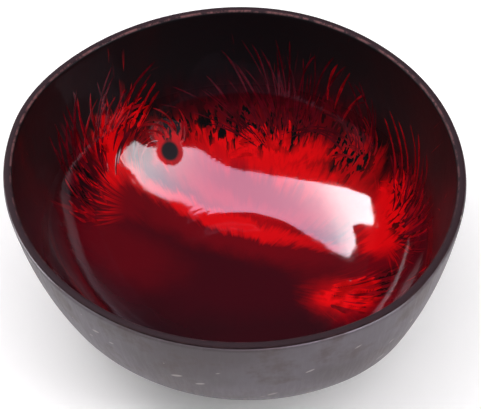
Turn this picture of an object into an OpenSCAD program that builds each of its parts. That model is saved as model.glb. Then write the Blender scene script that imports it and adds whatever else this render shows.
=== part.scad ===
// Half coconut shell bowl with a lacquered inside.
// The nut grew in three carpels, so its section is a soft triangle: every wall is the
// common part of three round bodies, each set off from the axis along its own carpel.
// Origin: middle of the ground foot, +Z up, the front of the bowl towards -Y.

/* [Bowl] */
// Mean diameter across the rim
rim_d = 145; // [130:1:160]
// Height from the ground foot to the top of the rim
bowl_h = 63; // [56:1:68]
// Thickness of the shell itself
shell_t = 2.5; // [2:0.1:3.5]

/* [Nut form] */
// Height of the widest ring of the whole nut above the cut rim
widest_above = 11.5; // [7:0.5:14]
// Radius of the long curve of the side wall, seen in section
side_r = 145; // [130:1:160]
// Radius of the turn from the side wall into the bottom
turn_r = 48.5; // [44:0.5:52]
// How far each carpel sits off the axis
carpel_off = [6.9, 5.4, 3.4]; // [0:0.1:9]
// Direction of each carpel round the rim
carpel_dir = [49, 201, 280]; // [0:1:359]

/* [Foot] */
// Depth ground off the bottom to make the flat foot
grind = 1; // [0.6:0.1:1.5]
// Extra thickness left in the bottom, where the shell is thickest
floor_extra = 1.4; // [1:0.1:2.2]
// Depth sanded flat inside, over the foot
floor_flat = 0.4; // [0.3:0.1:0.8]

/* [Eyes] */
// Distance of the three eyes from the axis
eye_ring_r = 9.5; // [8.5:0.5:10.5]
// Direction of the soft eye
eye_dir = 90; // [0:5:355]
// Diameter of the soft eye, which goes right through the shell
soft_eye_d = 7.5; // [6:0.5:9]
// Diameter of the two blind eyes
blind_eye_d = 6; // [5:0.5:8]
// Depth of the blind eyes
blind_eye_depth = 1.4; // [1.1:0.1:1.8]
// How far the filler in the eyes lies back from the foot
filler_back = 0.4; // [0.2:0.1:0.6]

/* [Lacquer] */
// Thickness of the black ground lacquer
black_t = 0.25; // [0.2:0.05:0.5]
// Thickness of the red lacquer strokes on the ground
red_t = 0.15; // [0.1:0.05:0.2]
// Thickness of the clear lacquer over all
clear_t = 0.3; // [0.25:0.05:0.6]
// Width of the eased edge inside the rim
lip_w = 0.9; // [0.6:0.1:1.2]
// Width of the eased edge outside the rim
edge_w = 0.7; // [0.4:0.1:0.9]

/* [Red bursts] */
// Width of a stroke where it leaves its burst
stroke_w = 2.2; // [1.4:0.1:3]
// Share of that width left at the tip of a stroke
tip_share = 0.3; // [0.2:0.1:0.6]
// Radius of the solid red in each burst, as shares of the rim radius
pool_share = [0.12, 0.18, 0.13, 0.13, 0.12]; // [0.06:0.01:0.2]
// Direction of the middle stroke of each burst
burst_dir = [137, 76, 24, 331, 178]; // [0:1:359]
// Angle over which the strokes of each burst spread
burst_spread = [170, 180, 170, 140, 150]; // [90:5:180]
// Length of the longest stroke beyond the solid red, as shares of the rim radius
reach_share = [0.1, 0.15, 0.11, 0.2, 0.2]; // [0.05:0.01:0.25]
// Number of strokes in each burst
strokes = [9, 13, 9, 7, 7]; // [3:1:15]

/* [Hidden] */
$fn = 144;

// Places of the burst middles, as shares of the rim radius
burst_shares = [[-0.55, 0.5], [0.15, 0.6], [0.66, 0.3], [0.4, -0.22], [-0.62, 0.02]];

over = bowl_h / 5;                                       // overrun of every cut
rim_r = rim_d / 2;
mean_off = (carpel_off[0] + carpel_off[1] + carpel_off[2]) / 3;
body_r = rim_r + mean_off * 3 * sqrt(3) / (2 * PI);      // each round body at the rim
wood_h = bowl_h - black_t;                               // the black lacquer lies on top of the cut rim
black_in = shell_t;                                      // where each coat starts, from the outside
red_in = black_in + black_t;
open_in = red_in + clear_t;

// Centres of the two curves of the wall; the turn meets the side curve without a kink
side_c = [body_r - sqrt(side_r * side_r - widest_above * widest_above), bowl_h + widest_above];
function turn_c(lift) =
    let (z = turn_r - grind + lift)
    [side_c[0] + sqrt(pow(side_r - turn_r, 2) - pow(side_c[1] - z, 2)), z];
function on_side(r, z) = [side_c[0] + sqrt(r * r - pow(side_c[1] - z, 2)), z];
function unit(v) = v / norm(v);

function floor_z(inset) = inset - grind + floor_extra + floor_flat;
function rim_z(inset) = wood_h + inset - black_in;       // top of the rim that a coat lies on
outer_x = on_side(side_r, wood_h)[0];
turn_proud = 0.4;                                        // the two curves cross instead of just touching
start_turn = 60;                                         // keeps the starts of the round bodies off the ridges
lip_bite_share = 0.2;                                    // the cone of the lip starts this far inside the wall

// Half section of one round body, inset from the outside, with its bottom curve lifted, between two heights
module nut_section(inset, lift, low, top) {
    tangent_c = turn_c(lift);
    to_side = unit(tangent_c - side_c);
    c = tangent_c + to_side * turn_proud;
    difference() {
        intersection() {
            translate(side_c) circle(side_r - inset);
            translate([0, low]) square([rim_d, top - low]);
        }
        difference() {
            polygon([c, c + to_side * side_r, c + [side_r, -side_r], c + [0, -side_r]]);
            translate(c) circle(turn_r - inset);
        }
    }
}

// Half section of the outside of the shell, with its edge eased
module shell_section() {
    difference() {
        nut_section(0, 0, 0, wood_h);
        translate([outer_x, wood_h]) polygon([[-edge_w - over, over], [over, -edge_w - over], [over, over]]);
    }
}

// Half section of the cone that eases the inside edge of the rim, for the shell or a coat, ending above it
module lip_section(inset, above) {
    foot_x = on_side(side_r - inset, rim_z(inset))[0] - lip_w * lip_bite_share;
    spread = 1 + lip_bite_share;
    translate([0, rim_z(inset)])
        polygon([[0, -lip_w], [foot_x, -lip_w], [foot_x + spread * (lip_w + above), above], [0, above]]);
}

// A round body from a half section, set off from the axis along one carpel
module carpel(k)
    rotate(carpel_dir[k]) translate([carpel_off[k], 0]) rotate(start_turn) rotate_extrude() children();

// The common part of the three carpel bodies
module nut_body() {
    intersection() {
        carpel(0) children();
        carpel(1) children();
        carpel(2) children();
    }
}

// The space inside the shell or a coat, up to a height
module space(inset, top) nut_body() nut_section(inset, floor_extra, floor_z(inset), top);

// A coat lies on the inside wall and the floor, turns over the lip and ends in a band on top of the rim
module coat(inset, thick) {
    band_z = rim_z(inset);
    difference() {
        union() {
            space(inset, band_z + thick);
            nut_body() lip_section(inset, thick / 2);
            nut_body() translate([0, band_z]) square([outer_x - edge_w, thick]);
        }
        space(inset + thick, bowl_h + over);
        nut_body() lip_section(inset + thick, lip_w);
    }
}

module at_eye(k) rotate(eye_dir + k * 360 / 3) translate([eye_ring_r, 0]) children();

module coconut_shell() color("#5b4b4a") {
    difference() {
        nut_body() shell_section();
        space(black_in, bowl_h + over);
        nut_body() lip_section(black_in, lip_w);
        at_eye(0) translate([0, 0, -over]) cylinder(d = soft_eye_d, h = over * 2);
        for (k = [1, 2]) at_eye(k) translate([0, 0, -over]) cylinder(d = blind_eye_d, h = over + blind_eye_depth);
    }
}

module soft_eye_plug() color("#2a2422")
    at_eye(0) translate([0, 0, filler_back]) cylinder(d = soft_eye_d, h = floor_z(black_in) - filler_back);

module blind_eye_plugs() color("#2a2422")
    for (k = [1, 2]) at_eye(k)
        translate([0, 0, filler_back]) cylinder(d = blind_eye_d, h = blind_eye_depth - filler_back);

module black_lacquer() color("#16100f") coat(black_in, black_t);

// A stroke tapers from the middle of its burst to a narrow tip
module stroke(length) polygon([[0, -stroke_w / 2], [length, -stroke_w / 2 * tip_share],
                               [length, stroke_w / 2 * tip_share], [0, stroke_w / 2]]);

// One burst in plan: solid red in the middle and strokes of unlike lengths round it
module burst(b) {
    pool = pool_share[b] * rim_r;
    translate(burst_shares[b] * rim_r) {
        circle(pool);
        for (s = [0 : strokes[b] - 1])
            rotate(burst_dir[b] + burst_spread[b] * (s / (strokes[b] - 1) - 0.5))
                stroke(pool + reach_share[b] * rim_r * (3 + sin(s * 137)) / 4);
    }
}

// The skin between two insets, up to a height
module skin(inset, thick, top) {
    difference() {
        space(inset, top);
        space(inset + thick, top + over);
    }
}

module red_lacquer() color("#c00d12") {
    intersection() {
        skin(red_in, red_t, bowl_h);
        linear_extrude(bowl_h - lip_w * 3) for (b = [0 : len(strokes) - 1]) burst(b);
    }
}

// The clear coat fills in round the strokes and covers them, and ends under the lip
module clear_topcoat() color("#e8c8c0", 0.35) {
    difference() {
        skin(red_in, clear_t, bowl_h - lip_w);
        red_lacquer();
    }
}

coconut_shell();
soft_eye_plug();
blind_eye_plugs();
black_lacquer();
red_lacquer();
clear_topcoat();
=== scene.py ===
import math
import random

import bmesh
import bpy
import numpy as np
from mathutils import Matrix, Vector, noise


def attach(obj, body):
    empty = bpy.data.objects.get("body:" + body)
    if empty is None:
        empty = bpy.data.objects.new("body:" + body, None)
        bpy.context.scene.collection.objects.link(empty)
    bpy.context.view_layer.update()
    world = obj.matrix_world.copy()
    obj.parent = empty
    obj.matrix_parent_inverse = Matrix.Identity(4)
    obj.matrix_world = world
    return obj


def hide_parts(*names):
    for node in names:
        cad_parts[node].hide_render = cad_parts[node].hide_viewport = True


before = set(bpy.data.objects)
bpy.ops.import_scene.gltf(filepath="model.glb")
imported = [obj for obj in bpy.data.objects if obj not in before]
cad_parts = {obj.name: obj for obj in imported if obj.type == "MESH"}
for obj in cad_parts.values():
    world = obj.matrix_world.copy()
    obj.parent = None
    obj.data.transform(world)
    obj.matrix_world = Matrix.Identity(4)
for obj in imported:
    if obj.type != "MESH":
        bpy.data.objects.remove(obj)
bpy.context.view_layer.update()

print("frame loaded")

perMetre = 1000  # the tables of paint and strokes are in mm and degrees on the unrolled wall

# form of the nut in metres: three round bodies set off from the axis, one for each carpel
nutForm = {
    "rimR": 0.0725,
    "rimHeight": 0.063,
    "widestAbove": 0.0115,  # widest ring of the whole nut above the rim
    "sideR": 0.145,  # long curve of the side wall
    "turnR": 0.0485,  # its turn into the bottom
    "turnProud": 0.0004,  # makes the two curves cross instead of just touching
    "carpelOff": (0.0069, 0.0054, 0.0034),
    "carpelDir": (49, 201, 280),
    "grind": 0.001,  # ground off the bottom
    "floorLift": 0.0014,  # extra thickness in the bottom
    "noFloor": -1.0,  # a floor this low leaves a wall without one
    "ridgeSoft": 0.0016,  # rounding of the ridges between the bodies
    "ringSoft": 0.001,
    "unrollR": 0.066,  # length of the unrolled wall for each radian
    "castFar": 0.11,  # a wall is looked for as far as this, by halving
    "castSteps": 34,
}
rimMiddle = np.array([0.0, 0.0, nutForm["rimHeight"]])


def bodyCentres(lift):
    form = nutForm
    meanOff = sum(form["carpelOff"]) / 3
    bodyR = form["rimR"] + meanOff * 3 * math.sqrt(3) / (2 * math.pi)
    sideX = bodyR - math.sqrt(form["sideR"] ** 2 - form["widestAbove"] ** 2)
    sideZ = form["rimHeight"] + form["widestAbove"]
    turnZ = form["turnR"] - form["grind"] + lift
    turnX = sideX + math.sqrt((form["sideR"] - form["turnR"]) ** 2 - (sideZ - turnZ) ** 2)
    toSide = Vector((turnX - sideX, turnZ - sideZ)).normalized()
    turn = (turnX + toSide.x * form["turnProud"], turnZ + toSide.y * form["turnProud"])
    return (sideX, sideZ), turn, toSide


def softMax(a, b, k):
    # the larger of the two, rounded off over k where they meet
    h = np.maximum(k - np.abs(a - b), 0) / k
    return np.maximum(a, b) + h * h * k / 4


# a wall of the nut is given as inset, lift of the bottom curve, height of the floor and softness at the floor
def nutDistance(x, y, z, wall):
    # signed distance to a wall of the nut, below zero on the inside
    inset, lift, floor, floorSoft = wall
    side, turn, toSide = bodyCentres(lift)
    total = None
    for off, angle in zip(nutForm["carpelOff"], nutForm["carpelDir"]):
        a = math.radians(angle)
        rho = np.hypot(x - off * math.cos(a), y - off * math.sin(a))
        sideD = np.hypot(rho - side[0], z - side[1]) - (nutForm["sideR"] - inset)
        dx, dz = rho - turn[0], z - turn[1]
        turnD = np.hypot(dx, dz) - (nutForm["turnR"] - inset)
        turnD = np.where(dx < 0, -dz - (nutForm["turnR"] - inset), turnD)
        below = toSide.x * dz - toSide.y * dx < 0
        d = np.where(below, np.maximum(sideD, turnD), sideD)
        total = d if total is None else softMax(total, d, nutForm["ridgeSoft"])
    return softMax(total, floor - z, floorSoft)


def castOut(start, way, wall):
    # how far from the start, which is inside, the wall lies along each way
    near = np.zeros(way.shape[:-1])
    reach = np.full(way.shape[:-1], nutForm["castFar"])
    for _ in range(nutForm["castSteps"]):
        mid = (near + reach) / 2
        p = start + way * mid[..., None]
        inside = nutDistance(p[..., 0], p[..., 1], p[..., 2], wall) < 0
        near = np.where(inside, mid, near)
        reach = np.where(inside, reach, mid)
    return (near + reach) / 2


def ringAt(z, inset, segments, lift=nutForm["floorLift"], floor=nutForm["noFloor"]):
    # a level ring on a wall of the nut
    phi = np.linspace(0, 2 * math.pi, segments, endpoint=False)
    way = np.stack([np.cos(phi), np.sin(phi), np.zeros_like(phi)], -1)
    start = np.array([0, 0, z])
    return start + way * castOut(start, way, (inset, lift, floor, nutForm["ringSoft"]))[:, None]


def wayDown(theta, phi):
    return np.stack([np.sin(theta) * np.cos(phi), np.sin(theta) * np.sin(phi), -np.cos(theta)], -1)


def cupRings(count, segments, topZ, wall):
    # rings from the middle of the floor up to a level ring at topZ
    inset, lift, floor, _ = wall
    top = ringAt(topZ, inset, segments, lift, floor)
    endAngle = np.arctan2(np.hypot(top[:, 0], top[:, 1]), rimMiddle[2] - topZ)
    phi = np.linspace(0, 2 * math.pi, segments, endpoint=False)
    rings = []
    for i in range(1, count + 1):
        way = wayDown(endAngle * i / count, phi)
        rings.append(rimMiddle + way * castOut(rimMiddle, way, wall)[:, None])
    return rings


def addObject(name, data):
    obj = bpy.data.objects.new(name, data)
    bpy.context.scene.collection.objects.link(obj)
    return obj


def addMesh(name, verts, faces, material):
    mesh = bpy.data.meshes.new(name)
    mesh.from_pydata([tuple(v) for v in verts], [], faces)
    mesh.validate()
    for face in mesh.polygons:
        face.use_smooth = True
    mesh.materials.append(material)
    return addObject(name, mesh)


def loftRings(name, rings, material):
    # closed skin over rings that start and end in the middle
    segments = len(rings[0])
    verts = np.concatenate(rings)
    faces = []
    for i in range(len(rings) - 1):
        for j in range(segments):
            a, b = i * segments + j, i * segments + (j + 1) % segments
            faces.append((a, b, b + segments, a + segments))
    points = [Vector(v) for v in verts]
    first = sum((points[j] for j in range(segments)), Vector()) / segments
    last = sum((points[-1 - j] for j in range(segments)), Vector()) / segments
    points += [first, last]
    count = len(verts)
    for j in range(segments):
        k = (j + 1) % segments
        faces.append((k, j, count))
        faces.append((count - segments + j, count - segments + k, count + 1))
    return addMesh(name, points, faces, material)


# nodes
def feed(tree, socket, value):
    # a socket takes the output of another node or a plain value
    if hasattr(value, "is_output"):
        tree.links.new(value, socket)
    else:
        socket.default_value = value


def newGroup(name, inputs, output, outputKind="Float"):
    # an input that starts as a float takes values, any other takes vectors
    group = bpy.data.node_groups.new(name, "ShaderNodeTree")
    for label, value in inputs.items():
        kind = "Float" if isinstance(value, float) else "Vector"
        socket = group.interface.new_socket(label, in_out="INPUT", socket_type="NodeSocket" + kind)
        if value is not None:
            socket.default_value = value
    group.interface.new_socket(output, in_out="OUTPUT", socket_type="NodeSocket" + outputKind)
    return group, group.nodes.new("NodeGroupInput").outputs, group.nodes.new("NodeGroupOutput").inputs


def mathNode(tree, operation, a, b=None):
    node = tree.nodes.new("ShaderNodeMath")
    node.operation = operation
    feed(tree, node.inputs[0], a)
    if b is not None:
        feed(tree, node.inputs[1], b)
    return node.outputs[0]


def times(tree, a, b):
    return mathNode(tree, "MULTIPLY", a, b)


def vectorNode(tree, operation, a, b=None, scale=None):
    node = tree.nodes.new("ShaderNodeVectorMath")
    node.operation = operation
    feed(tree, node.inputs[0], a)
    if b is not None:
        feed(tree, node.inputs[1], b)
    if scale is not None:
        feed(tree, node.inputs["Scale"], scale)
    return node.outputs["Value"] if operation == "LENGTH" else node.outputs[0]


def splitAxes(tree, vector):
    node = tree.nodes.new("ShaderNodeSeparateXYZ")
    tree.links.new(vector, node.inputs[0])
    return node.outputs


def joinAxes(tree, x, y, z):
    # made after its inputs, which keeps the shader within the renderer's memory for values
    node = tree.nodes.new("ShaderNodeCombineXYZ")
    for socket, v in zip(node.inputs, (x, y, z)):
        feed(tree, socket, v)
    return node.outputs[0]


def rangeNode(tree, value, low, high, toLow=0.0, toHigh=1.0, smooth=True):
    node = tree.nodes.new("ShaderNodeMapRange")
    node.interpolation_type = "SMOOTHSTEP" if smooth else "LINEAR"
    for label, v in (("Value", value), ("From Min", low), ("From Max", high), ("To Min", toLow), ("To Max", toHigh)):
        feed(tree, node.inputs[label], v)
    return node.outputs["Result"]


def mixColour(tree, factor, a, b):
    node = tree.nodes.new("ShaderNodeMix")
    node.data_type = "RGBA"
    for i, v in ((0, factor), (6, a), (7, b)):
        feed(tree, node.inputs[i], v)
    return node.outputs[2]


def noiseNode(tree, vector, scale, detail=3.0, roughness=0.5, output="Fac"):
    node = tree.nodes.new("ShaderNodeTexNoise")
    tree.links.new(vector, node.inputs["Vector"])
    node.inputs["Scale"].default_value = scale
    node.inputs["Detail"].default_value = detail
    node.inputs["Roughness"].default_value = roughness
    return node.outputs[output]


def placeGroup(tree, group, **values):
    node = tree.nodes.new("ShaderNodeGroup")
    node.node_tree = group
    for label, v in values.items():
        feed(tree, node.inputs[label], v)
    return node.outputs[0]


def addBump(tree, shader, height, strength, distance):
    bump = tree.nodes.new("ShaderNodeBump")
    bump.inputs["Strength"].default_value = strength
    bump.inputs["Distance"].default_value = distance
    tree.links.new(height, bump.inputs["Height"])
    tree.links.new(bump.outputs[0], shader.inputs["Normal"])


# effects that the materials share
def makeSoftPatch():
    # 1 in the middle of an oval patch, 0 outside, with a soft edge
    group, given, out = newGroup("softPatch", {
        "Place": None, "Middle": (0, 0, 0), "Length": 0.02, "Width": 0.01, "Turn": 0.0, "Softness": 0.5}, "Mask")
    off = vectorNode(group, "SUBTRACT", given["Place"], given["Middle"])
    turned = group.nodes.new("ShaderNodeVectorRotate")
    turned.rotation_type = "Z_AXIS"
    group.links.new(off, turned.inputs["Vector"])
    group.links.new(times(group, given["Turn"], -1.0), turned.inputs["Angle"])
    axes = splitAxes(group, turned.outputs[0])
    u = mathNode(group, "DIVIDE", axes["X"], given["Length"])
    v = mathNode(group, "DIVIDE", axes["Y"], given["Width"])
    reach = mathNode(group, "SQRT", mathNode(group, "ADD", times(group, u, u), times(group, v, v)))
    inner = mathNode(group, "SUBTRACT", 1.0, given["Softness"])
    outer = mathNode(group, "ADD", 1.0, given["Softness"])
    group.links.new(rangeNode(group, reach, inner, outer, 1.0, 0.0), out["Mask"])
    return group


# how the marks of a fan break up: shares are of the reach, cuts are of the noise
fanMarks = {
    "along": 45.0,
    "detail": 2.0,
    "roughness": 0.6,
    "startShare": 0.2,
    "fullShare": 0.5,
    "nearCut": 0.38,
    "farCut": 0.72,
    "edge": 0.09,
    "sectorEdge": (-0.15, 0.2),
}


def makeFanStrokes():
    # brush strokes that run out from the middle of a burst and thin out towards their ends
    group, given, out = newGroup("fanStrokes", {
        "Place": None, "Middle": (0, 0, 0), "Reach": 0.02, "Turn": 0.0, "Spread": 0.0, "Count": 12.0, "Seed": 0.0,
        "Curl": 0.0}, "Strokes")
    marks = fanMarks
    off = vectorNode(group, "SUBTRACT", given["Place"], given["Middle"])
    axes = splitAxes(group, off)
    reach = vectorNode(group, "LENGTH", off)
    angle = mathNode(group, "ARCTAN2", axes["Y"], axes["X"])
    angle = mathNode(group, "ADD", angle, times(group, reach, given["Curl"]))
    around = times(group, mathNode(group, "COSINE", angle), given["Count"])
    across = times(group, mathNode(group, "SINE", angle), given["Count"])
    outward = mathNode(group, "ADD", times(group, reach, marks["along"]), given["Seed"])
    streak = noiseNode(group, joinAxes(group, around, across, outward), 1.0, marks["detail"], marks["roughness"])
    share = mathNode(group, "DIVIDE", reach, given["Reach"])
    least = rangeNode(group, share, marks["startShare"], 1.0, marks["nearCut"], marks["farCut"], False)
    lines = rangeNode(group, mathNode(group, "SUBTRACT", streak, least), 0.0, marks["edge"])
    lines = times(group, lines, rangeNode(group, share, marks["startShare"], marks["fullShare"]))
    aside = mathNode(group, "COSINE", mathNode(group, "SUBTRACT", angle, given["Turn"]))
    sector = rangeNode(group, mathNode(group, "SUBTRACT", aside, given["Spread"]), *marks["sectorEdge"])
    group.links.new(times(group, lines, sector), out["Strokes"])
    return group


def makeUnrolledCup():
    # the wall of the bowl laid out flat: direction from the middle kept, distance measured along the wall
    group, given, out = newGroup("unrolledCup", {
        "Place": None, "Height": nutForm["rimHeight"], "Wall": nutForm["unrollR"]}, "Flat", "Vector")
    least = 0.00001  # keeps the middle itself from a division by zero
    axes = splitAxes(group, given["Place"])
    plan = vectorNode(group, "MULTIPLY", given["Place"], (1.0, 1.0, 0.0))
    rho = mathNode(group, "MAXIMUM", vectorNode(group, "LENGTH", plan), least)
    theta = mathNode(group, "ARCTAN2", rho, mathNode(group, "SUBTRACT", given["Height"], axes["Z"]))
    factor = mathNode(group, "DIVIDE", times(group, theta, given["Wall"]), rho)
    group.links.new(vectorNode(group, "SCALE", plan, scale=factor), out["Flat"])
    return group


raggedMarks = {"along": 70.0, "detail": 3.0, "roughness": 0.6, "strayScale": 140.0, "strayDetail": 4.0}


def makeRaggedEdges():
    # pushes places in and out from the middle, finely round the bowl, so that painted edges end in brush marks
    group, given, out = newGroup("raggedEdges", {
        "Flat": None, "Amount": 0.5, "Count": 30.0, "Wander": 0.006, "Seed": 0.0}, "Pushed", "Vector")
    marks = raggedMarks
    flat = given["Flat"]
    away = vectorNode(group, "NORMALIZE", flat)
    turned = vectorNode(group, "SCALE", away, scale=given["Count"])
    far = vectorNode(group, "LENGTH", flat)
    lift = joinAxes(group, 0.0, 0.0, mathNode(group, "ADD", times(group, far, marks["along"]), given["Seed"]))
    wave = noiseNode(group, vectorNode(group, "ADD", turned, lift), 1.0, marks["detail"], marks["roughness"])
    shift = times(group, mathNode(group, "SUBTRACT", wave, 0.5), given["Amount"])
    pushed = vectorNode(group, "SCALE", flat, scale=mathNode(group, "ADD", 1.0, shift))
    stray = noiseNode(group, flat, marks["strayScale"], marks["strayDetail"], output="Color")
    stray = vectorNode(group, "SUBTRACT", stray, (0.5, 0.5, 0.5))
    stray = vectorNode(group, "SCALE", stray, scale=given["Wander"])
    level = vectorNode(group, "MULTIPLY", vectorNode(group, "ADD", pushed, stray), (1.0, 1.0, 0.0))
    group.links.new(level, out["Pushed"])
    return group


def makeSpecks():
    # small marks scattered over a surface
    group, given, out = newGroup("specks", {"Place": None, "Scale": 200.0, "Share": 0.1, "Size": 0.3}, "Mask")
    least, edge = 0.3, 0.6  # smallest mark as a share of the size, and where its edge starts to fade
    cells = group.nodes.new("ShaderNodeTexVoronoi")
    group.links.new(given["Place"], cells.inputs["Vector"])
    group.links.new(given["Scale"], cells.inputs["Scale"])
    pick = group.nodes.new("ShaderNodeSeparateColor")
    group.links.new(cells.outputs["Color"], pick.inputs[0])
    chosen = mathNode(group, "LESS_THAN", pick.outputs["Red"], given["Share"])
    size = times(group, given["Size"], mathNode(group, "ADD", pick.outputs["Green"], least))
    dot = rangeNode(group, mathNode(group, "DIVIDE", cells.outputs["Distance"], size), edge, 1.0, 1.0, 0.0)
    group.links.new(times(group, dot, chosen), out["Mask"])
    return group


def makeTornPaint():
    # uneven cover drawn out along the strokes, away from the middle
    group, given, out = newGroup("tornPaint", {"Flat": None, "Count": 30.0, "Along": 200.0}, "Cover")
    detail, roughness = 2.0, 0.5
    away = vectorNode(group, "NORMALIZE", given["Flat"])
    turned = vectorNode(group, "SCALE", away, scale=given["Count"])
    far = times(group, vectorNode(group, "LENGTH", given["Flat"]), given["Along"])
    place = vectorNode(group, "ADD", turned, joinAxes(group, 0.0, 0.0, far))
    cover = noiseNode(group, place, 1.0, detail, roughness)
    group.links.new(cover, out["Cover"])
    return group


softPatch = makeSoftPatch()
tornPaint = makeTornPaint()
fanStrokes = makeFanStrokes()
specks = makeSpecks()
unrolledCup = makeUnrolledCup()
raggedEdges = makeRaggedEdges()


def newMaterial(name):
    material = bpy.data.materials.new(name)
    material.use_nodes = True
    tree = material.node_tree
    shader = next(n for n in tree.nodes if n.type == "BSDF_PRINCIPLED")
    place = tree.nodes.new("ShaderNodeTexCoord").outputs["Object"]
    return material, tree, shader, place


def setPlain(shader, values):
    for label, value in values.items():
        shader.inputs[label].default_value = value


# In the dictionaries of the pieces, a noise is its scale, detail and roughness. A cut is the range of a noise or of a
# place that is spread out from 0 to 1, or between the two values that follow. A bump is its strength and distance.

# lacquered inside
lacquerInside = {
    "black": (0.004, 0.0034, 0.004, 1),
    "maroon": (0.019, 0.0035, 0.006, 1),
    "wine": (0.05, 0.002, 0.006, 1),
    "darkRed": (0.16, 0.002, 0.006, 1),
    "red": (0.48, 0.002, 0.005, 1),
    "brightRed": (0.9, 0.003, 0.005, 1),
    "underRed": (0.24, 0.002, 0.008, 1),
    "rimBand": (0.011, 0.0024, 0.003, 1),
    "rimPale": (0.16, 0.062, 0.062, 1),
    "paintEdges": {"Amount": 0.3, "Count": 22.0, "Wander": 0.007},
    "spotEdges": {"Amount": 0.03, "Count": 60.0, "Wander": 0.0012, "Seed": 5.0},
    "brushMarks": {"Middle": (0.02, -0.1, 0), "Reach": 0.9, "Turn": 0.0, "Spread": -2.0, "Count": 70.0,
                   "Seed": 3.0, "Curl": 0.0},
    "torn": {"Count": 34.0, "Along": 210.0},
    "tornCut": (0.5, 0.55),
    "smallSpot": 2,  # mm; smaller spots get uneven edges
    "rimFrom": 0.0624,
    "rimEdge": 0.0002,
    "rimLine": (0.0621, 0.0626, 0.0627, 0.0629),
    "rimLineNoise": (260.0, 4.0, 0.7),
    "rimLineCut": (0.4, 0.62),
    "rimLineFront": (-0.04, 0.03, 0.15, 1.0),  # the pale line fades towards the front
    "roughness": 0.07,
    "dullWall": (0.065, 0.085, 0.07, 0.45),  # roughness up the wall
    "rimDull": 0.4,
    "dropDull": 0.75,
    "coatWall": (0.054, 0.072, 1.0, 0.2),  # clear coat up the wall
    "coat": {"Coat Roughness": 0.02, "Coat IOR": 1.3, "Specular IOR Level": 0.12},
    "grain": (420.0, 2.0, 0.5),
    "bump": (0.25, 0.0002),
    "segments": 384,
    "rings": 150,
    "backRings": 40,
    "waves": [(55, 0.000035), (160, 0.000022), (380, 0.000005)],
    "waveFade": 12,  # rings below the lip over which the waves die out
    "frontTop": 0.0615,
    "backTop": 0.0612,
    "frontInset": 0.00305,
    "backInset": 0.0026,
    "floor": 0.00385,
    "thick": 0.0006,
    "floorSoft": 0.0006,
    "lip": [(0.00302, 0.0619), (0.0029, 0.0623), (0.00265, 0.06262), (0.0023, 0.06284), (0.0019, 0.06295),
            (0.0015, 0.06298), (0.0011, 0.06294), (0.0008, 0.06282), (0.00062, 0.06262), (0.00056, 0.0624),
            (0.0006, 0.0622)],
}
# patches: colour and streakiness, then middle, half length, half width, turn, softness and strength of each
paintPatches = [
    ("maroon", 0.0, [
        ((-60, -4), 32, 28, 0, 0.35, 1.0), ((0, -50), 92, 52, 0, 0.35, 1.0), ((66, -26), 34, 32, 0, 0.35, 1.0),
        ((-50, 22), 20, 20, 0, 0.5, 0.8), ((74, 16), 8, 18, 0, 0.5, 0.6)]),
    ("wine", 0.2, [
        ((-42, 10), 24, 22, 100, 0.4, 1.0), ((-2, 6), 52, 26, -10, 0.5, 1.0), ((50, -8), 24, 22, 50, 0.5, 1.0),
        ((14, -30), 34, 14, 0, 0.7, 0.5), ((14, 64), 36, 12, -5, 0.6, 0.7)]),
    ("darkRed", 0.25, [
        ((-40, 36), 11, 11, 120, 0.5, 1.0), ((-42, 12), 20, 12, 160, 0.6, 0.6), ((0, 20), 52, 8, -22, 0.6, 1.0),
        ((48, 0), 16, 16, 30, 0.5, 0.9), ((64, 18), 8, 14, 10, 0.6, 0.5), ((15, 58), 32, 8, -10, 0.6, 0.9),
        ((40, -18), 16, 9, -32, 0.5, 0.9), ((32, 4), 12, 7, 0, 0.6, 0.6)]),
    ("red", 0.25, [
        ((-46, 49), 7, 9, 20, 0.35, 1.0), ((10, 39), 42, 14, -21, 0.3, 1.0), ((54, 14), 13, 15, 20, 0.4, 1.0),
        ((36, -13), 13, 7.5, -28, 0.45, 0.9), ((47, 38), 10, 7, -30, 0.4, 1.0), ((12, 53), 32, 5, -12, 0.5, 1.0)]),
    ("brightRed", 0.3, [
        ((-48, 49), 6, 8, 20, 0.4, 1.0), ((-6, 28), 44, 3.4, -23, 0.5, 0.9), ((12, 40), 36, 10, -21, 0.4, 1.0),
        ((57, 17), 7, 9, 20, 0.4, 1.0), ((51, 9), 7, 9, 20, 0.4, 0.9), ((-24, 53), 7, 6, 0, 0.3, 1.0),
        ((37, -14), 10, 4.2, -27, 0.4, 1.0), ((12, 52), 29, 4, -13, 0.5, 1.0), ((-46, 42), 4, 7, 10, 0.5, 0.8)]),
    ("underRed", 0.0, [((8, 38), 33, 7, -24, 0.7, 0.9)]),
]
# bursts: middle, reach, turn, half spread, count, seed, curl, colour
paintBursts = [
    ((-24, 22), 62, 150, 40, 22, 1.0, 0, "wine"), ((-28, 26), 54, 150, 44, 18, 2.0, 0, "darkRed"),
    ((-32, 30), 36, 155, 55, 15, 2.2, 0, "red"), ((-42, 46), 27, 85, 55, 18, 2.5, 0, "red"),
    ((-24, 50), 18, 95, 100, 9, 3.0, 60, "darkRed"), ((16, 44), 50, 84, 56, 34, 4.0, 2, "wine"),
    ((16, 42), 40, 84, 60, 26, 4.5, 2, "darkRed"), ((14, 42), 24, 85, 80, 13, 5.0, 6, "red"),
    ((44, 34), 28, 50, 60, 15, 6.0, -20, "darkRed"), ((54, 16), 20, 15, 90, 16, 7.0, 14, "red"),
    ((50, 8), 24, 0, 70, 22, 7.5, 10, "red"), ((50, 6), 32, -5, 60, 28, 8.0, 0, "darkRed"),
    ((30, -4), 30, -42, 50, 12, 9.0, 0, "darkRed"), ((20, -3), 36, -27, 24, 22, 9.5, 0, "red"),
]
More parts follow.
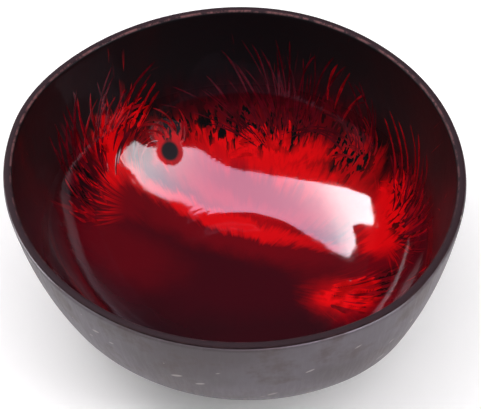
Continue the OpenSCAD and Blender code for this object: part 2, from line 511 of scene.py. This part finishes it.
# places with gaps, given as the patches are
groundGaps = [
    ((8, 60), 38, 7, -8, 0.5, 1.0), ((46, 44), 11, 9, -40, 0.4, 1.0), ((-44, 62), 13, 7, 20, 0.5, 0.8),
    ((66, 20), 6, 13, 10, 0.5, 1.0), ((-24, 62), 9, 6, 10, 0.4, 1.0), ((-60, 34), 8, 12, 20, 0.5, 0.8),
    ((62, 8), 7, 13, 0, 0.5, 0.9), ((50, -14), 8, 6, 20, 0.5, 0.8),
]
# places that the clear coat left bare, given as the patches are
barePlaces = [((-24, 52), 5.1, 5.1, 0, 0.1, 1.0), ((-25, 58), 7, 4.5, 10, 0.12, 1.0)]
# drops of black: middle, radius, softness
blackSpots = [((-24, 52), 3.3, 0.2), ((44, 41), 1.4, 0.3), ((47, 37), 1.2, 0.3), ((39, 45), 0.9, 0.3)]


def placePatch(tree, place, middle, length, width, turn, softness):
    return placeGroup(tree, softPatch, Place=place, Middle=(middle[0] / perMetre, middle[1] / perMetre, 0),
                      Length=length / perMetre, Width=width / perMetre, Turn=math.radians(turn), Softness=softness)


def joinPatches(tree, flat, patches):
    total = None
    for *shape, strength in patches:
        mask = times(tree, placePatch(tree, flat, *shape), strength)
        total = mask if total is None else mathNode(tree, "MAXIMUM", total, mask)
    return total


def paintColours(tree, flat, pushed):
    # the patches and bursts of each colour, laid on the black ground one colour after another
    look = lacquerInside
    brush = placeGroup(tree, fanStrokes, Place=flat, **look["brushMarks"])
    colour = look["black"]
    for label, streaks, patches in paintPatches:
        mask = joinPatches(tree, pushed, patches)
        if streaks:
            mask = times(tree, mask, rangeNode(tree, brush, 0.0, 1.0, 1 - streaks, 1.0))
        colour = mixColour(tree, mask, colour, look[label])
        for middle, reach, turn, spread, count, seed, curl, tone in paintBursts:
            if tone != label:
                continue
            marks = placeGroup(tree, fanStrokes, Place=flat, Middle=(middle[0] / perMetre, middle[1] / perMetre, 0),
                               Reach=reach / perMetre, Turn=math.radians(turn),
                               Spread=math.cos(math.radians(spread)), Count=count, Seed=seed, Curl=curl)
            colour = mixColour(tree, marks, colour, look[label])
    return colour


def makeLacquerMaterial():
    look = lacquerInside
    material, tree, shader, place = newMaterial("blackRedLacquer")
    flat = placeGroup(tree, unrolledCup, Place=place)
    pushed = placeGroup(tree, raggedEdges, Flat=flat, **look["paintEdges"])
    pushedSpots = placeGroup(tree, raggedEdges, Flat=flat, **look["spotEdges"])
    colour = paintColours(tree, flat, pushed)
    # gaps where the black ground shows between the ends of the strokes, drawn out along the strokes
    torn = rangeNode(tree, placeGroup(tree, tornPaint, Flat=flat, **look["torn"]), *look["tornCut"])
    gaps = joinPatches(tree, pushed, groundGaps)
    colour = mixColour(tree, times(tree, gaps, torn), colour, look["black"])
    dropZone = joinPatches(tree, pushedSpots, barePlaces)
    for middle, radius, soft in blackSpots:
        under = pushedSpots if radius < look["smallSpot"] else flat
        colour = mixColour(tree, placePatch(tree, under, middle, radius, radius, 0.0, soft), colour, look["black"])
    # rim: dull maroon band with a pale line along its inner edge, broken up by noise and fading towards the front
    axes = splitAxes(tree, place)
    rim = rangeNode(tree, axes["Z"], look["rimFrom"] - look["rimEdge"], look["rimFrom"] + look["rimEdge"])
    lineFrom, lineFull, lineOn, lineTo = look["rimLine"]
    line = rangeNode(tree, axes["Z"], lineFrom, lineFull)
    line = times(tree, line, rangeNode(tree, axes["Z"], lineOn, lineTo, 1.0, 0.0))
    brokenLine = rangeNode(tree, noiseNode(tree, place, *look["rimLineNoise"]), *look["rimLineCut"])
    brokenLine = times(tree, brokenLine, rangeNode(tree, axes["Y"], *look["rimLineFront"]))
    colour = mixColour(tree, rim, colour, look["rimBand"])
    colour = mixColour(tree, times(tree, line, brokenLine), colour, look["rimPale"])
    tree.links.new(colour, shader.inputs["Base Color"])
    # the clear coat thins out towards the rim, and the rim and the largest drop have none
    bare = mathNode(tree, "MAXIMUM", rim, dropZone)
    rimRough = times(tree, rim, look["rimDull"])
    wallRough = rangeNode(tree, vectorNode(tree, "LENGTH", flat), *look["dullWall"])
    rough = mathNode(tree, "ADD", wallRough, times(tree, dropZone, look["dropDull"]))
    tree.links.new(mathNode(tree, "ADD", rimRough, rough), shader.inputs["Roughness"])
    wallUp = rangeNode(tree, vectorNode(tree, "LENGTH", flat), *look["coatWall"])
    coat = times(tree, wallUp, rangeNode(tree, bare, 0.0, 1.0, 1.0, 0.0))
    tree.links.new(coat, shader.inputs["Coat Weight"])
    setPlain(shader, look["coat"])
    # fine unevenness of the paint under the coat
    addBump(tree, shader, noiseNode(tree, place, *look["grain"]), *look["bump"])
    return material


def waveShift(points):
    # the brushed coat isn't level: slow waves with finer ones on them
    waves = lacquerInside["waves"]
    return np.array([sum(high * noise.noise(Vector(v) * often) for often, high in waves) for v in points])


def makeLining(material):
    form = lacquerInside
    segments, lift = form["segments"], nutForm["floorLift"]
    frontWall = (form["frontInset"], lift, form["floor"], form["floorSoft"])
    backWall = (form["backInset"], lift, form["floor"] - form["thick"], form["floorSoft"])
    front = cupRings(form["rings"], segments, form["frontTop"], frontWall)
    for i, ring in enumerate(front):
        way = rimMiddle - ring
        shift = waveShift(ring) * min(1, (len(front) - 1 - i) / form["waveFade"])
        ring += way / np.linalg.norm(way, axis=1)[:, None] * shift[:, None]
    lip = [ringAt(z, inset, segments) for inset, z in form["lip"]]
    back = cupRings(form["backRings"], segments, form["backTop"], backWall)
    obj = loftRings("lacquer_lining", front + lip + back[::-1], material)
    obj.data.flip_normals()
    return obj


lacquerMaterial = makeLacquerMaterial()
lining = makeLining(lacquerMaterial)
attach(lining, "root")
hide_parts("black_lacquer", "clear_topcoat")
print("lacquer lining made")

# shell
shellWall = {
    "brown": (0.105, 0.084, 0.094, 1),
    "grey": (0.15, 0.13, 0.152, 1),
    "warm": (0.098, 0.07, 0.072, 1),
    "fibre": (0.26, 0.22, 0.24, 1),
    # pale: painted light, for the lower outer wall
    "pale": (0.27, 0.25, 0.268, 1),
    "fleck": (0.36, 0.3, 0.27, 1),
    "scratch": (0.37, 0.325, 0.315, 1),
    "fibreScale": (60.0, 120.0),  # round the bowl, and up it
    "fibreNoise": (1.0, 4.0, 0.6),
    "fibreCut": (0.55, 0.8, 0.0, 0.12),
    "broadNoise": (35.0, 3.0, 0.5),
    "broadCut": (0.35, 0.65),
    "warmNoise": (70.0, 4.0, 0.65),
    "warmCut": (0.48, 0.66, 0.0, 0.8),
    # painted light: paler towards the bottom of the outer wall
    "paintedLightLow": (0.006, 0.045, 0.75, 0.0),
    # light dots, longer chips and short slanting scratches
    "dots": {"Scale": 260.0, "Share": 0.05, "Size": 0.25},
    "chipStretch": (1.0, 0.6, 0.35),
    "chips": {"Scale": 110.0, "Share": 0.03, "Size": 0.09},
    "scratchStretch": (0.4, 0.5),
    "scratchSlant": 0.45,
    "scratches": {"Scale": 190.0, "Share": 0.9, "Size": 0.14},
    "roughness": (0.33, 0.43),
    "roughCut": (0.3, 0.7),
    "shine": {"Specular IOR Level": 0.18},
    "bump": (0.08, 0.0004),
    "segments": 288,
    "rings": 110,
    "innerRings": 40,
    "outerTop": 0.0608,
    "innerTop": 0.0606,
    "outerWall": (0.00003, 0.0, 0.00002, 0.0004),
    "innerWall": (0.0026, nutForm["floorLift"], 0.0031, 0.001),
    "edge": [(0.00004, 0.0612), (0.00012, 0.0616), (0.0003, 0.06195), (0.0006, 0.06215), (0.001, 0.0622)],
    "uneven": 0.00012,
    "unevenScale": 45,
    "unevenFrom": 0.01,  # it fades out nearer to the axis than this
    "evenRings": 8,  # rings of the foot, which stay level
    "eyes": [(90, 0.00752), (210, 0.00602), (330, 0.00602)],  # direction and width
    "eyeSegments": 64,
    "eyeRing": 0.0095,
    "pocketTop": 0.0009,
    "pocketDepth": 0.004,
    "sharpAngle": 40,
}


def makeShellMaterial():
    look = shellWall
    material, tree, shader, place = newMaterial("polishedShell")
    axes = splitAxes(tree, place)
    angle = mathNode(tree, "ARCTAN2", axes["Y"], axes["X"])
    around, up = look["fibreScale"]
    cosine = times(tree, mathNode(tree, "COSINE", angle), around)
    sine = times(tree, mathNode(tree, "SINE", angle), around)
    grain = noiseNode(tree, joinAxes(tree, cosine, sine, times(tree, axes["Z"], up)), *look["fibreNoise"])
    broad = noiseNode(tree, place, *look["broadNoise"])
    colour = mixColour(tree, rangeNode(tree, broad, *look["broadCut"]), look["brown"], look["grey"])
    colour = mixColour(tree, rangeNode(tree, grain, *look["fibreCut"]), colour, look["fibre"])
    patches = rangeNode(tree, noiseNode(tree, place, *look["warmNoise"]), *look["warmCut"])
    colour = mixColour(tree, patches, colour, look["warm"])
    # painted light: the outer wall is made paler towards the bottom
    colour = mixColour(tree, rangeNode(tree, axes["Z"], *look["paintedLightLow"]), colour, look["pale"])
    dots = placeGroup(tree, specks, Place=place, **look["dots"])
    stretched = vectorNode(tree, "MULTIPLY", place, look["chipStretch"])
    chips = placeGroup(tree, specks, Place=stretched, **look["chips"])
    colour = mixColour(tree, mathNode(tree, "MAXIMUM", dots, chips), colour, look["fleck"])
    alongX, alongY = (times(tree, axes[axis], share) for axis, share in zip("XY", look["scratchStretch"]))
    rise = mathNode(tree, "SUBTRACT", axes["Z"], times(tree, axes["X"], look["scratchSlant"]))
    scratches = placeGroup(tree, specks, Place=joinAxes(tree, alongX, alongY, rise), **look["scratches"])
    colour = mixColour(tree, scratches, colour, look["scratch"])
    tree.links.new(colour, shader.inputs["Base Color"])
    rough = rangeNode(tree, grain, *look["roughCut"], *look["roughness"])
    tree.links.new(rough, shader.inputs["Roughness"])
    setPlain(shader, look["shine"])
    addBump(tree, shader, grain, *look["bump"])
    return material


def cutEyes(obj):
    # pockets in the foot, where the filler of the three eyes shows
    form = shellWall
    deep = form["pocketDepth"]
    cut = bmesh.new()
    for angle, across in form["eyes"]:
        a = math.radians(angle)
        place = (form["eyeRing"] * math.cos(a), form["eyeRing"] * math.sin(a), form["pocketTop"] - deep / 2)
        bmesh.ops.create_cone(cut, cap_ends=True, segments=form["eyeSegments"], radius1=across / 2,
                              radius2=across / 2, depth=deep, matrix=Matrix.Translation(place))
    cutMesh = bpy.data.meshes.new("eye_cutters")
    cut.to_mesh(cutMesh)
    cut.free()
    cutter = addObject("eye_cutters", cutMesh)
    modifier = obj.modifiers.new("eyes", "BOOLEAN")
    modifier.operation = "DIFFERENCE"
    modifier.object = cutter
    modifier.solver = "EXACT"
    obj.data = bpy.data.meshes.new_from_object(obj.evaluated_get(bpy.context.evaluated_depsgraph_get()))
    obj.modifiers.clear()
    bpy.data.objects.remove(cutter)
    obj.data.set_sharp_from_angle(angle=math.radians(form["sharpAngle"]))


def makeShell(material):
    form = shellWall
    segments = form["segments"]
    outer = cupRings(form["rings"], segments, form["outerTop"], form["outerWall"])
    edge = [ringAt(z, inset, segments, 0.0) for inset, z in form["edge"]]
    inner = cupRings(form["innerRings"], segments, form["innerTop"], form["innerWall"])
    rings = outer + edge + inner[::-1]
    # a faint unevenness over the outer wall, which only sinks in
    for ring in rings[form["evenRings"]:len(outer) + 2]:
        for v in ring:
            push = 0.5 - 0.5 * noise.noise(Vector(v) * form["unevenScale"])
            v[:2] *= 1 - form["uneven"] * push / max(math.hypot(v[0], v[1]), form["unevenFrom"])
    obj = loftRings("shell_wall", rings, material)
    cutEyes(obj)
    return obj


shellMaterial = makeShellMaterial()
shell = makeShell(shellMaterial)
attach(shell, "root")
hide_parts("coconut_shell")
print("shell made")

# eye filler
eyeFiller = {
    "dark": (0.03, 0.022, 0.018, 1),
    "light": (0.075, 0.055, 0.045, 1),
    "grit": (900.0, 3.0, 0.6),
    "finish": {"Roughness": 0.7},
    "bump": (0.3, 0.0003),
}


def makeFillerMaterial():
    material, tree, shader, place = newMaterial("eyeFiller")
    grit = noiseNode(tree, place, *eyeFiller["grit"])
    tree.links.new(mixColour(tree, grit, eyeFiller["dark"], eyeFiller["light"]), shader.inputs["Base Color"])
    setPlain(shader, eyeFiller["finish"])
    addBump(tree, shader, grit, *eyeFiller["bump"])
    return material


fillerMaterial = makeFillerMaterial()
for nodeName in ("soft_eye_plug", "blind_eye_plugs"):
    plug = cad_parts[nodeName]
    plug.data.materials.clear()
    plug.data.materials.append(fillerMaterial)
print("eye filler finished")

# red strokes
strokeLook = {
    "bright": (0.78, 0.003, 0.006, 1),
    "middle": (0.28, 0.003, 0.008, 1),
    "dark": (0.1, 0.003, 0.009, 1),
    "darker": 0.45,  # share of the colour left in the darker streaks
    "toneNoise": (220.0, 3.0, 0.5),
    "toneCut": (0.35, 0.65),
    "section": [(-1.0, 0.0), (-0.55, 0.75), (0.0, 1.0), (0.55, 0.75), (1.0, 0.0)],  # across a stroke
    "fanSteps": 16,
    "singleSteps": 18,
    "fewest": 5,  # steps that a stroke needs
    "angleSpread": (0.1, 0.9),
    "startSpread": (0.6, 1.2),
    "bendSpread": (0.3, 1.3),
    "widthSpread": (0.6, 1.3),
    "outermost": 94.0,  # mm on the unrolled wall
    "lift": 0.000011,
    "swell": (5, 0.05),  # how fast a stroke widens from its start, and how wide it starts
    "tipPower": 5,  # the higher, the later it narrows
    "waver": (9, 0.2),
    "thinning": 0.6,  # share of the height lost by the tip
    "leastHalfWidth": 0.00003,
    "normalStep": 0.0001,
    "sharpAngle": 60,
}
# fans of strokes: tone, middle, first and last direction, count, start, shortest, longest, width, bend
strokeFans = [
    ("bright", (-48, 48), 62, 92, 6, 8, 8, 16, 1.4, -0.3),
    ("middle", (-44, 48), 95, 150, 8, 9, 6, 13, 1.2, -0.5),
    ("bright", (-44, 48), 125, 205, 9, 5, 3, 8, 1.5, -0.4),
    ("middle", (-36, 36), 142, 170, 8, 19, 6, 15, 1.1, -0.5),
    ("middle", (-34, 26), 165, 205, 9, 20, 3, 9, 1.3, -0.3),
    ("middle", (-24, 52), 15, 165, 8, 7, 5, 9, 0.9, 1.1),
    ("bright", (12, 46), 35, 150, 26, 9, 3, 8, 1.3, 0.3),
    ("middle", (46, 36), 10, 110, 13, 8, 4, 10, 1.0, 0.7),
    ("bright", (56, 12), 20, 85, 9, 9, 3, 9, 1.1, 0.5),
    ("middle", (54, 8), -50, 20, 10, 10, 4, 12, 1.0, 0.3),
    ("bright", (21, -4), -44, -8, 12, 12, 8, 17, 1.9, 0.05),
    ("middle", (22, -4), -52, -2, 11, 18, 6, 15, 1.4, 0.05),
    ("dark", (16, 46), 35, 138, 38, 14, 14, 34, 0.55, 0.25),
    ("dark", (-30, 28), 110, 180, 18, 30, 10, 26, 0.9, -0.4),
    ("dark", (52, 10), -60, 60, 22, 12, 8, 20, 0.9, 0.3),
    ("dark", (44, 36), 20, 110, 16, 12, 10, 22, 0.8, 0.7),
]
# single strokes, each through three places, with the width for each tone
singleStrokes = {
    "bright": (1.7, [
        [(-49, 55), (-48, 59), (-47, 63)], [(-46, 58), (-45, 62), (-43.5, 66.5)], [(-43, 57), (-42, 62), (-39.5, 67)],
        [(-40, 57), (-38, 62.5), (-35.5, 68)], [(-37, 58), (-35.5, 62), (-33, 67)], [(-52, 52), (-53, 56), (-54, 60)],
    ]),
    "middle": (1.1, [
        [(-48, 60), (-46.8, 65), (-46, 70)], [(-44.5, 63), (-43, 68), (-41, 73)], [(-41, 63), (-39, 69), (-36, 74)],
        [(-37, 63), (-35, 69), (-32, 75)], [(-34.5, 63), (-32.5, 68), (-30, 72)],
        [(-53.5, 57), (-54.5, 61), (-55, 66)], [(62, 18), (70, 28), (72, 43)], [(62, 23), (68, 33), (69, 49)],
        [(64, 15), (74, 24), (78, 38)], [(60, 24), (64, 35), (65, 48)], [(69, 16), (76, 23), (81, 32)],
        [(42, 60), (48, 66), (55, 70)], [(44, 55), (51, 59), (58, 60)], [(40, 64), (44, 71), (50, 75)],
        [(-52, 50), (-58, 56), (-62, 64)], [(-50, 42), (-60, 49), (-68, 60)],
    ]),
    "dark": (0.8, [
        [(24, 58), (31, 74), (40, 81)], [(33, 56), (42, 68), (54, 73)], [(37, 52), (48, 58), (58, 57)],
        [(30, 57), (38, 71), (49, 78)], [(73, 12), (79, 16), (82, 22)], [(-50, 57), (-54, 62), (-60, 69)],
        [(-57, 47), (-65, 55), (-72, 62)], [(-49, 30), (-64, 39), (-77, 46)], [(-52, 24), (-66, 33), (-78, 40)],
        [(-46, 36), (-60, 46), (-73, 55)], [(-50, 27), (-62, 33), (-73, 38)], [(-47, 33), (-60, 42), (-74, 52)],
        [(16, 60), (15, 78), (11, 90)], [(16, 55), (20, 72), (22, 86)], [(19, 55), (25, 74), (29, 89)],
        [(10, 58), (6, 74), (-1, 86)], [(4, 58), (-2, 70), (-10, 79)],
    ]),
}
# object, tone, height of the stroke in metres, seed
strokeSets = [
    ("bright_strokes", "bright", 0.000014, 4),
    ("middle_strokes", "middle", 0.000012, 5),
    ("dark_strokes", "dark", 0.00001, 7),
]


def surfaceAt(flat):
    # places on the lacquer, and the way out of it, from places on the unrolled wall
    flat = np.array(flat)
    theta = np.hypot(flat[:, 0], flat[:, 1]) / nutForm["unrollR"]
    phi = np.arctan2(flat[:, 1], flat[:, 0])
    way = wayDown(theta, phi)
    form = lacquerInside
    wall = (form["frontInset"], nutForm["floorLift"], form["floor"], form["floorSoft"])
    p = rimMiddle + way * castOut(rimMiddle, way, wall)[:, None]
    p -= way * waveShift(p)[:, None]
    step = strokeLook["normalStep"]

    def value(dx, dy, dz):
        return nutDistance(p[:, 0] + dx, p[:, 1] + dy, p[:, 2] + dz, wall)

    n = np.stack([value(step, 0, 0) - value(-step, 0, 0), value(0, step, 0) - value(0, -step, 0),
                  value(0, 0, step) - value(0, 0, -step)], -1)
    return p, -n / np.linalg.norm(n, axis=1)[:, None]


def strokeLine(middle, angle, start, length, bend):
    line = []
    steps = strokeLook["fanSteps"]
    for i in range(steps):
        u = i / (steps - 1)
        a = angle + bend * u
        line.append((middle[0] + (start + length * u) * math.cos(a), middle[1] + (start + length * u) * math.sin(a)))
    return line


def bendThrough(a, b, c):
    # a curve from a past b to c
    points = []
    steps = strokeLook["singleSteps"]
    for i in range(steps):
        u = i / (steps - 1)
        points.append(tuple((1 - u) ** 2 * p + 2 * u * (1 - u) * (2 * q - (p + r) / 2) + u * u * r
                            for p, q, r in zip(a, b, c)))
    return points


def halfWidth(width, u, phase):
    # a stroke swells soon after its start, wavers a little and closes at its tip
    rate, first = strokeLook["swell"]
    often, much = strokeLook["waver"]
    swell = math.sqrt(min(1, u * rate + first)) * math.sqrt(1 - u ** strokeLook["tipPower"])
    waver = 1 - much + much * math.sin(often * u + phase)
    return width / (2 * perMetre) * swell * waver + strokeLook["leastHalfWidth"]


def strokeLines(tone, seed):
    # lines with their widths: the single strokes first, then the fans
    rng = random.Random(seed)
    look = strokeLook
    singleWidth, singles = singleStrokes[tone]
    lines = [(bendThrough(*points), singleWidth) for points in singles]
    for fanTone, middle, first, last, count, start, shortest, longest, width, bend in strokeFans:
        for i in range(count if fanTone == tone else 0):
            angle = math.radians(first + (last - first) * (i + rng.uniform(*look["angleSpread"])) / count)
            length = rng.uniform(shortest, longest)
            begin = start * rng.uniform(*look["startSpread"])
            line = strokeLine(middle, angle, begin, length, bend * rng.uniform(*look["bendSpread"]))
            lines.append((line, width * rng.uniform(*look["widthSpread"])))
    return lines


def makeStrokes(name, tone, material, thick, seed):
    # each stroke is a closed ribbon with a rounded top, lying on the lacquer
    verts, faces = [], []
    section = strokeLook["section"]
    side = len(section)
    thinning = strokeLook["thinning"]
    for line, width in strokeLines(tone, seed):
        line = [(x / perMetre, y / perMetre) for x, y in line if math.hypot(x, y) <= strokeLook["outermost"]]
        if len(line) < strokeLook["fewest"]:
            continue
        p, n = surfaceAt(line)
        along = np.gradient(p, axis=0)
        sideways = np.cross(n, along)
        sideways /= np.linalg.norm(sideways, axis=1)[:, None]
        base = len(verts)
        for k in range(len(line)):
            u = k / (len(line) - 1)
            w = halfWidth(width, u, base)
            for s, h in section:
                high = strokeLook["lift"] + thick * h * (1 - thinning + thinning * (1 - u))
                verts.append(p[k] + sideways[k] * w * s + n[k] * high)
        for k in range(len(line) - 1):
            a = base + k * side
            faces += [(a + s, a + s + side, a + s + side + 1, a + s + 1) for s in range(side - 1)]
            faces.append((a, a + side - 1, a + 2 * side - 1, a + side))
        faces.append(tuple(base + s for s in reversed(range(side))))
        faces.append(tuple(len(verts) - side + s for s in range(side)))
    obj = addMesh(name, verts, faces, material)
    obj.data.set_sharp_from_angle(angle=math.radians(strokeLook["sharpAngle"]))
    return obj


def makeStrokeMaterial(tone):
    material, tree, shader, place = newMaterial(tone + "RedLacquer")
    colour = strokeLook[tone]
    streaks = noiseNode(tree, place, *strokeLook["toneNoise"])
    darker = tuple(c * strokeLook["darker"] for c in colour[:3]) + (1,)
    mixed = mixColour(tree, rangeNode(tree, streaks, *strokeLook["toneCut"]), darker, colour)
    tree.links.new(mixed, shader.inputs["Base Color"])
    setPlain(shader, {"Roughness": lacquerInside["roughness"], "Coat Weight": 1.0, **lacquerInside["coat"]})
    return material


for name, tone, thick, seed in strokeSets:
    strokes = makeStrokes(name, tone, makeStrokeMaterial(tone), thick, seed)
    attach(strokes, "root")
    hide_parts("red_lacquer")
print("red strokes made")

# floor, lights and camera
studio = {
    "floor": (0.95, 0.95, 0.945, 1),
    "floorWarm": (0.96, 0.96, 0.955, 1),
    "floorHalf": 4.0,
    "floorRoughness": 0.9,
    "floorNoise": (2.0, 2.0, 0.5),
    "glow": (0.16, 0.16, 0.16, 1),
    "dimSky": (0.057, 0.057, 0.06, 1),
    "stripHeight": 0.6,
    "stripMiddleY": -0.04,
    "stripWidth": 0.34,
    "stripTurn": -22.8,
    "stripTint": (1, 0.99, 0.99),
    "slabDrop": 0.02,
    "slabWidth": 0.022,
    "mostSlabs": 8,  # between two rows of the table
    "widePlace": (0.3, -0.3, 2.2),
    "wideToward": (0.1, -0.1, 0),
    "wideSize": 3.0,
    "wideRadiance": 0.55,
}


def makeFloor():
    s = studio["floorHalf"]
    material, tree, shader, place = newMaterial("studioFloor")
    mesh = bpy.data.meshes.new("studio_floor")
    mesh.from_pydata([(-s, -s, 0), (s, -s, 0), (s, s, 0), (-s, s, 0)], [], [(0, 1, 2, 3)])
    mesh.materials.append(material)
    shade = noiseNode(tree, place, *studio["floorNoise"])
    tree.links.new(mixColour(tree, shade, studio["floor"], studio["floorWarm"]), shader.inputs["Base Color"])
    # the camera sees the floor a little lighter, with the shadow kept
    path = tree.nodes.new("ShaderNodeLightPath")
    glow = mixColour(tree, path.outputs["Is Camera Ray"], (0, 0, 0, 1), studio["glow"])
    tree.links.new(glow, shader.inputs["Emission Color"])
    setPlain(shader, {"Roughness": studio["floorRoughness"], "Emission Strength": 1.0})
    addObject("studio_floor", mesh)


def addArea(name, middle, toward, length, width, radiance, turn=0.0, tint=(1, 1, 1)):
    # a lamp that faces a place, with its length turned round the upright axis
    lamp = bpy.data.lights.new(name, "AREA")
    lamp.shape = "RECTANGLE"
    lamp.size = length
    lamp.size_y = width
    lamp.energy = math.pi * length * width * radiance
    lamp.color = tint
    obj = addObject(name, lamp)
    z = (Vector(middle) - Vector(toward)).normalized()
    x = Vector((math.cos(turn), math.sin(turn), 0))
    x = (x - z * x.dot(z)).normalized()
    y = z.cross(x)
    obj.matrix_world = Matrix.Translation(middle) @ Matrix((x, y, z)).transposed().to_4x4()
    return obj


def addDownward(name, middle, length, width, radiance, turn, tint):
    return addArea(name, middle, middle - Vector((0, 0, 1)), length, width, radiance, turn, tint)


makeFloor()
stripTurn = math.radians(studio["stripTurn"])
alongStrip = Vector((math.cos(stripTurn), math.sin(stripTurn), 0))
stripMiddle = Vector((0, studio["stripMiddleY"], studio["stripHeight"]))
# the strip over the bowl: plain lamps light it, and lamps that only the gloss shows make the long shine
plainStrip = [("strip_right", -1.75, -0.45, 4.0), ("strip_middle", -0.45, 0.62, 3.0), ("strip_left", 0.62, 1.4, 5.0)]
for name, low, high, plain in plainStrip:
    middle = stripMiddle + alongStrip * (low + high) / 2
    soft = addDownward(name, middle, high - low, studio["stripWidth"], plain, stripTurn, studio["stripTint"])
    soft.visible_glossy = False
# the bent strip that the gloss shows: x, low and high edge in y, brightness and tint
glossStrip = [
    (1.35, -0.95, -0.59, 19.0, (0.98, 0.94, 1)), (1.0, -0.74, -0.41, 19.0, (0.98, 0.94, 1)),
    (0.754, -0.6, -0.29, 19.0, (0.97, 0.93, 1)), (0.6, -0.56, -0.2, 18.5, (0.97, 0.92, 1)),
    (0.45, -0.52, -0.11, 17.5, (0.97, 0.88, 1)), (0.356, -0.478, -0.05, 16.0, (0.97, 0.84, 1)),
    (0.25, -0.44, 0.02, 14.5, (1, 0.79, 1)), (0.17, -0.38, 0.075, 13.0, (1, 0.74, 1)),
    (0.105, -0.29, 0.13, 12.3, (1, 0.7, 1)), (0.05, -0.21, 0.23, 11.8, (1, 0.67, 0.98)),
    (0.0, -0.16, 0.32, 11.5, (1, 0.66, 0.98)), (-0.074, -0.106, 0.345, 11.7, (1, 0.66, 0.97)),
    (-0.174, -0.075, 0.34, 13.0, (1, 0.7, 0.97)), (-0.3, -0.045, 0.4, 16.5, (1, 0.79, 0.98)),
    (-0.414, -0.03, 0.463, 23.0, (1, 0.9, 1)), (-0.54, 0.0, 0.45, 29.0, (1, 0.94, 1)),
    (-0.545, 0.0, 0.3, 30.0, (1, 0.95, 1)), (-0.704, 0.032, 0.34, 32.0, (1, 0.96, 1)),
    (-1.0, 0.155, 0.5, 33.0, (1, 0.96, 1)), (-1.134, 0.211, 0.56, 33.0, (1, 0.96, 1)),
    (-1.414, 0.345, 0.69, 33.0, (1, 0.96, 1)), (-1.8, 0.5, 0.72, 33.0, (1, 0.96, 1)),
]
slab = 0
for a, b in zip(glossStrip, glossStrip[1:]):
    count = max(1, min(studio["mostSlabs"], round((a[0] - b[0]) / studio["slabWidth"])))
    for k in range(count):
        u = (k + 0.5) / count
        low, high, gloss = (p + (q - p) * u for p, q in zip(a[1:4], b[1:4]))
        tint = tuple(p + (q - p) * u for p, q in zip(a[4], b[4]))
        x = a[0] + (b[0] - a[0]) * u
        middle = Vector((x, (low + high) / 2, studio["stripHeight"] - studio["slabDrop"]))
        shine = addDownward("strip_gloss_%d" % slab, middle, (a[0] - b[0]) / count, high - low, gloss, 0.0, tint)
        shine.visible_diffuse = False
        slab += 1

# a wide soft lamp evens out the floor
wide = addArea("wide_soft", studio["widePlace"], studio["wideToward"], studio["wideSize"], studio["wideSize"],
               studio["wideRadiance"])
wide.visible_glossy = False

world = bpy.data.worlds.new("studioWorld")
bpy.context.scene.world = world
world.use_nodes = True
background = next(n for n in world.node_tree.nodes if n.type == "BACKGROUND")
skyPath = world.node_tree.nodes.new("ShaderNodeLightPath")
sky = mixColour(world.node_tree, skyPath.outputs["Is Camera Ray"], studio["dimSky"], (1, 1, 1, 1))
world.node_tree.links.new(sky, background.inputs["Color"])
background.inputs["Strength"].default_value = 1.0

cameraSet = {
    "distance": 0.466,
    "elevation": 48.79,
    "lens": 105.1,
    "sensor": 36,
    "roll": -2.83,
    "target": (0.00151, 0.0095, 0.0315),
    "clip": (0.01, 20),
}


def makeCamera():
    lens = bpy.data.cameras.new("photoCamera")
    lens.sensor_width = cameraSet["sensor"]
    lens.lens = cameraSet["lens"]
    lens.clip_start, lens.clip_end = cameraSet["clip"]
    obj = addObject("photoCamera", lens)
    e = math.radians(cameraSet["elevation"])
    roll = math.radians(cameraSet["roll"])
    forward = Vector((0, math.cos(e), -math.sin(e)))
    right = Vector((1, 0, 0))
    up = Vector((0, math.sin(e), math.cos(e)))
    x = right * math.cos(roll) + up * math.sin(roll)
    y = up * math.cos(roll) - right * math.sin(roll)
    place = Vector(cameraSet["target"]) - forward * cameraSet["distance"]
    obj.matrix_world = Matrix.Translation(place) @ Matrix((x, y, -forward)).transposed().to_4x4()
    bpy.context.scene.camera = obj


makeCamera()
bpy.context.scene.view_settings.view_transform = "Standard"
print("floor, lights and camera set")
